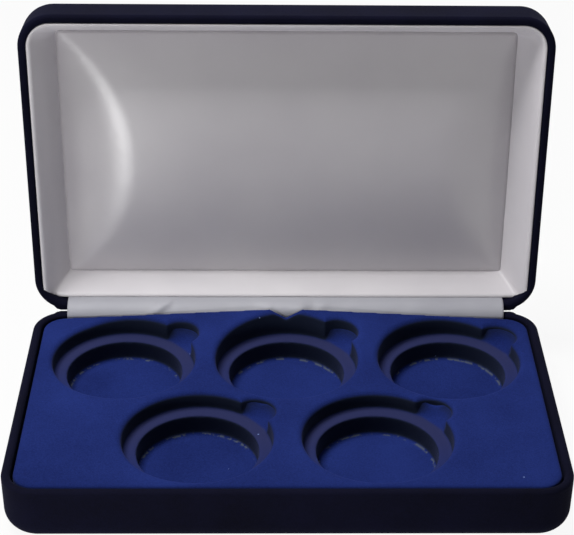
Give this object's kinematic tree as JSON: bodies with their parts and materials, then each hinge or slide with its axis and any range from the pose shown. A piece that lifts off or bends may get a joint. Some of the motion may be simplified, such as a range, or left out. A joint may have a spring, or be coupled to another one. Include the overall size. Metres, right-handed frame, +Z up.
{
  "type": "coin display box",
  "caption": "Velvet-covered hinged presentation case, open, with a flocked tray of round coin recesses below and a padded satin panel in the lid.",
  "frame": {"origin": "middle of the underside of the base", "axes": "+X to the right along the hinge and the longest side, -Y towards the front, +Z up"},
  "size_m": [0.175, 0.133, 0.124],
  "materials": {
    "case_velvet": "short dense pile, near black navy",
    "tray_flock": "royal blue flocking, matt",
    "lining_satin": "silver white satin with a soft sheen",
    "shell_steel": "thin pressed steel, dark lacquer",
    "hinge_steel": "bright drawn wire",
    "spring_steel": "blued spring steel",
    "lining_card": "grey board",
    "pad_foam": "soft upholstery foam"
  },
  "bodies": {
    "base": {"base_shell": "shell_steel", "base_cover": "case_velvet", "hinge_pin_left": "hinge_steel", "hinge_pin_right": "hinge_steel", "snap_spring": "spring_steel", "base_anchor": "shell_steel", "base_rivets": "hinge_steel", "hinge_gusset": "lining_satin", "coin_tray": "tray_flock"},
    "lid": {"lid_shell": "shell_steel", "lid_cover": "case_velvet", "lid_anchor": "shell_steel", "lid_rivets": "hinge_steel", "collar_left": "lining_satin", "collar_right": "lining_satin", "collar_front": "lining_satin", "collar_rear": "lining_satin", "pad_board": "lining_card", "pad_foam": "pad_foam", "pad_satin": "lining_satin"}
  },
  "joints": [
    {"name": "lid_hinge", "type": "hinge", "parent": "base", "child": "lid", "pos_m": [0, 0.0525, 0.0195], "axis": [1, 0, 0], "range_deg": [0, 95], "deforming": ["hinge_gusset", "snap_spring"]}
  ]
}
